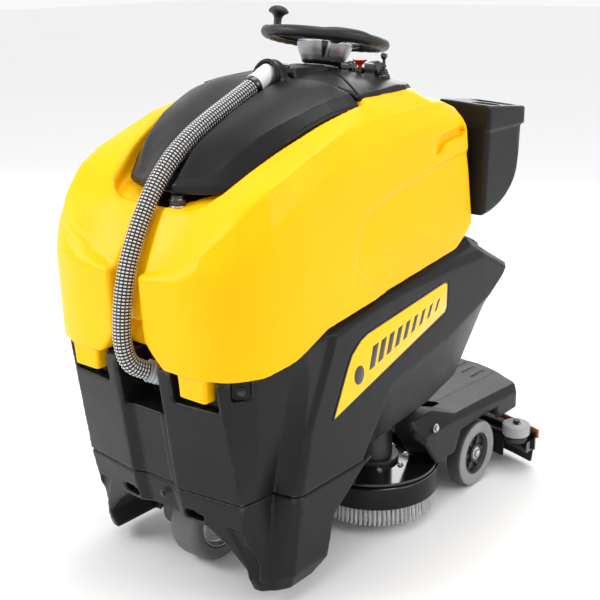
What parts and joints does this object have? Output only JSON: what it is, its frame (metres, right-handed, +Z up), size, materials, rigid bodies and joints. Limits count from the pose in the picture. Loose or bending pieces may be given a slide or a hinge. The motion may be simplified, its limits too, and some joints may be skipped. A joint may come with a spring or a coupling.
{
  "type": "stand-on floor scrubber",
  "caption": "Stand-on floor scrubber with tilting yellow recovery tank, lid hose, steering wheel, rotary brush deck, rear squeegee and operator platform.",
  "frame": {"origin": "on the floor under the centre of the machine's box, hose left out", "axes": "+X is the machine's left side, -Y is the front, +Z is up"},
  "size_m": [0.872, 1.3666, 1.3434],
  "materials": {
    "recovery_tank": "satin rotomoulded polyethylene",
    "black_body": "fine grain rotomoulded polyethylene",
    "black_cover": "grained plastic",
    "label": "printed vinyl",
    "steel_black": "powder coat",
    "steel_bright": "zinc plated",
    "tyre": "grey non-marking polyurethane",
    "wheel_hub": "moulded",
    "cast_hub": "cast",
    "motor": "satin",
    "brush": "moulded, with grey nylon bristles",
    "blade": "tan gum rubber",
    "roller": "grey polyurethane",
    "hose": "spiral grey and black",
    "cuff": "light grey",
    "elbow": "grey",
    "battery": "case",
    "rubber_black": "soft grip",
    "hub_grey": "silver grey",
    "red": "red"
  },
  "bodies": {
    "root": {"solution_tank": "black_body", "front_skirt": "black_body", "side_labels": "label", "chassis_frame": "steel_black", "batteries": "battery", "vacuum_motor": "motor", "pump_and_filter": "motor", "control_unit": "steel_bright", "frame_bolts": "steel_bright", "hose_elbow": "elbow", "rear_platform": "black_body", "steering_bearing": "steel_bright", "deck_actuator": "steel_black", "squeegee_mount": "steel_black", "tank_hinge": "steel_bright"},
    "fill_cap": {"fill_cap": "black_cover"},
    "pedal": {"presence_pedal": "rubber_black"},
    "drive_unit": {"drive_bracket": "steel_black", "drive_motor": "motor"},
    "drive_wheel": {"drive_tyre": "tyre", "drive_hub": "cast_hub"},
    "rear_wheel_left": {"rear_tyre_left": "tyre", "rear_hub_left": "wheel_hub"},
    "rear_wheel_right": {"rear_tyre_right": "tyre", "rear_hub_right": "wheel_hub"},
    "deck": {"brush_deck": "steel_black", "deck_bolts": "steel_bright", "brush_motor_left": "motor", "brush_motor_right": "motor", "actuator_rod": "steel_bright"},
    "brush_left": {"brush_left": "brush"},
    "brush_right": {"brush_right": "brush"},
    "squeegee": {"squeegee_holder": "steel_black", "squeegee_blades": "blade", "squeegee_fasteners": "steel_bright", "squeegee_nozzle": "black_cover", "squeegee_arm": "steel_black", "roller_brackets": "steel_black"},
    "roller_left": {"side_roller_left": "roller"},
    "roller_right": {"side_roller_right": "roller"},
    "recovery_tank": {"recovery_tank": "recovery_tank", "console": "black_cover", "steering_pedestal": "black_cover", "control_panel": "black_cover", "switch_housings": "black_cover", "storage_boxes": "black_body", "hinge_leaves": "steel_bright", "float_filter": "black_cover"},
    "lid": {"lid": "black_cover", "hose_port_ring": "black_cover", "hose_cuff": "cuff", "recovery_hose": "hose"},
    "steering_wheel": {"steering_wheel": "rubber_black", "steering_hub": "hub_grey"},
    "spinner_knob": {"spinner_knob": "rubber_black"},
    "estop": {"estop_button": "red"},
    "lever": {"drive_lever": "rubber_black"},
    "key": {"key_switch": "steel_bright"},
    "button_left": {"panel_button_left": "label"},
    "button_right": {"panel_button_right": "red"}
  },
  "joints": [
    {"name": "tank_tilt", "type": "hinge", "parent": "root", "child": "recovery_tank", "pos_m": [0, 0.262, 0.748], "axis": [-1, 0, 0], "range_deg": [0, 40]},
    {"name": "lid_hinge", "type": "hinge", "parent": "recovery_tank", "child": "lid", "pos_m": [0, -0.1215, 1.228], "axis": [-1, 0, 0], "range_deg": [0, 50]},
    {"name": "drive_steer", "type": "hinge", "parent": "root", "child": "drive_unit", "pos_m": [0, -0.413, 0.2], "axis": [0, 0, 1], "range_deg": [-80, 80]},
    {"name": "drive_spin", "type": "hinge", "parent": "drive_unit", "child": "drive_wheel", "pos_m": [0, -0.413, 0.111], "axis": [1, 0, 0], "continuous": true},
    {"name": "rear_spin_left", "type": "hinge", "parent": "root", "child": "rear_wheel_left", "pos_m": [0.319, 0.342, 0.098], "axis": [1, 0, 0], "continuous": true},
    {"name": "rear_spin_right", "type": "hinge", "parent": "root", "child": "rear_wheel_right", "pos_m": [-0.319, 0.342, 0.098], "axis": [1, 0, 0], "continuous": true},
    {"name": "deck_lift", "type": "slide", "parent": "root", "child": "deck", "axis": [0, 0, 1], "range_m": [-0.027, 0]},
    {"name": "brush_spin_left", "type": "hinge", "parent": "deck", "child": "brush_left", "pos_m": [0.181, 0.052, 0.11], "axis": [0, 0, 1], "continuous": true},
    {"name": "brush_spin_right", "type": "hinge", "parent": "deck", "child": "brush_right", "pos_m": [-0.181, 0.052, 0.11], "axis": [0, 0, 1], "continuous": true},
    {"name": "squeegee_lift", "type": "hinge", "parent": "root", "child": "squeegee", "pos_m": [0, 0.47, 0.15], "axis": [1, 0, 0], "range_deg": [-5, 0]},
    {"name": "roller_spin_left", "type": "hinge", "parent": "squeegee", "child": "roller_left", "pos_m": [0.381, 0.499, 0.132], "axis": [0, 0, 1], "continuous": true},
    {"name": "roller_spin_right", "type": "hinge", "parent": "squeegee", "child": "roller_right", "pos_m": [-0.381, 0.499, 0.132], "axis": [0, 0, 1], "continuous": true},
    {"name": "steering_turn", "type": "hinge", "parent": "recovery_tank", "child": "steering_wheel", "pos_m": [0, 0.075, 1.277], "axis": [0, 0.1994, 0.9799], "range_deg": [-160, 160]},
    {"name": "knob_spin", "type": "hinge", "parent": "steering_wheel", "child": "spinner_knob", "pos_m": [-0.15052, 0.0573, 1.29611], "axis": [0, 0.1994, 0.9799], "continuous": true},
    {"name": "estop_press", "type": "slide", "parent": "recovery_tank", "child": "estop", "axis": [0, 0, -1], "range_m": [0, 0.005], "stiffness_N_per_m": 400},
    {"name": "lever_tilt", "type": "hinge", "parent": "recovery_tank", "child": "lever", "pos_m": [0.196, 0.06, 1.213], "axis": [1, 0, 0], "range_deg": [-20, 20], "stiffness_Nm_per_rad": 0.3},
    {"name": "key_turn", "type": "hinge", "parent": "recovery_tank", "child": "key", "pos_m": [-0.085, 0.18977, 1.16836], "axis": [0, 0.5975, 0.8019], "range_deg": [0, 90]},
    {"name": "button_press_left", "type": "slide", "parent": "recovery_tank", "child": "button_left", "axis": [0, -0.5975, -0.8019], "range_m": [0, 0.002], "stiffness_N_per_m": 400},
    {"name": "button_press_right", "type": "slide", "parent": "recovery_tank", "child": "button_right", "axis": [0, -0.5975, -0.8019], "range_m": [0, 0.002], "stiffness_N_per_m": 400},
    {"name": "fill_cap_turn", "type": "hinge", "parent": "root", "child": "fill_cap", "pos_m": [0.205, 0.402, 0.69], "axis": [0, 0.4848, 0.8746], "range_deg": [0, 90]},
    {"name": "pedal_press", "type": "hinge", "parent": "root", "child": "pedal", "pos_m": [0, 0.378, 0.2605], "axis": [1, 0, 0], "range_deg": [-2.5, 0], "stiffness_Nm_per_rad": 60}
  ],
  "couplings": [
    {"joint": "steering_turn", "follows": "drive_steer", "ratio": 2}
  ]
}
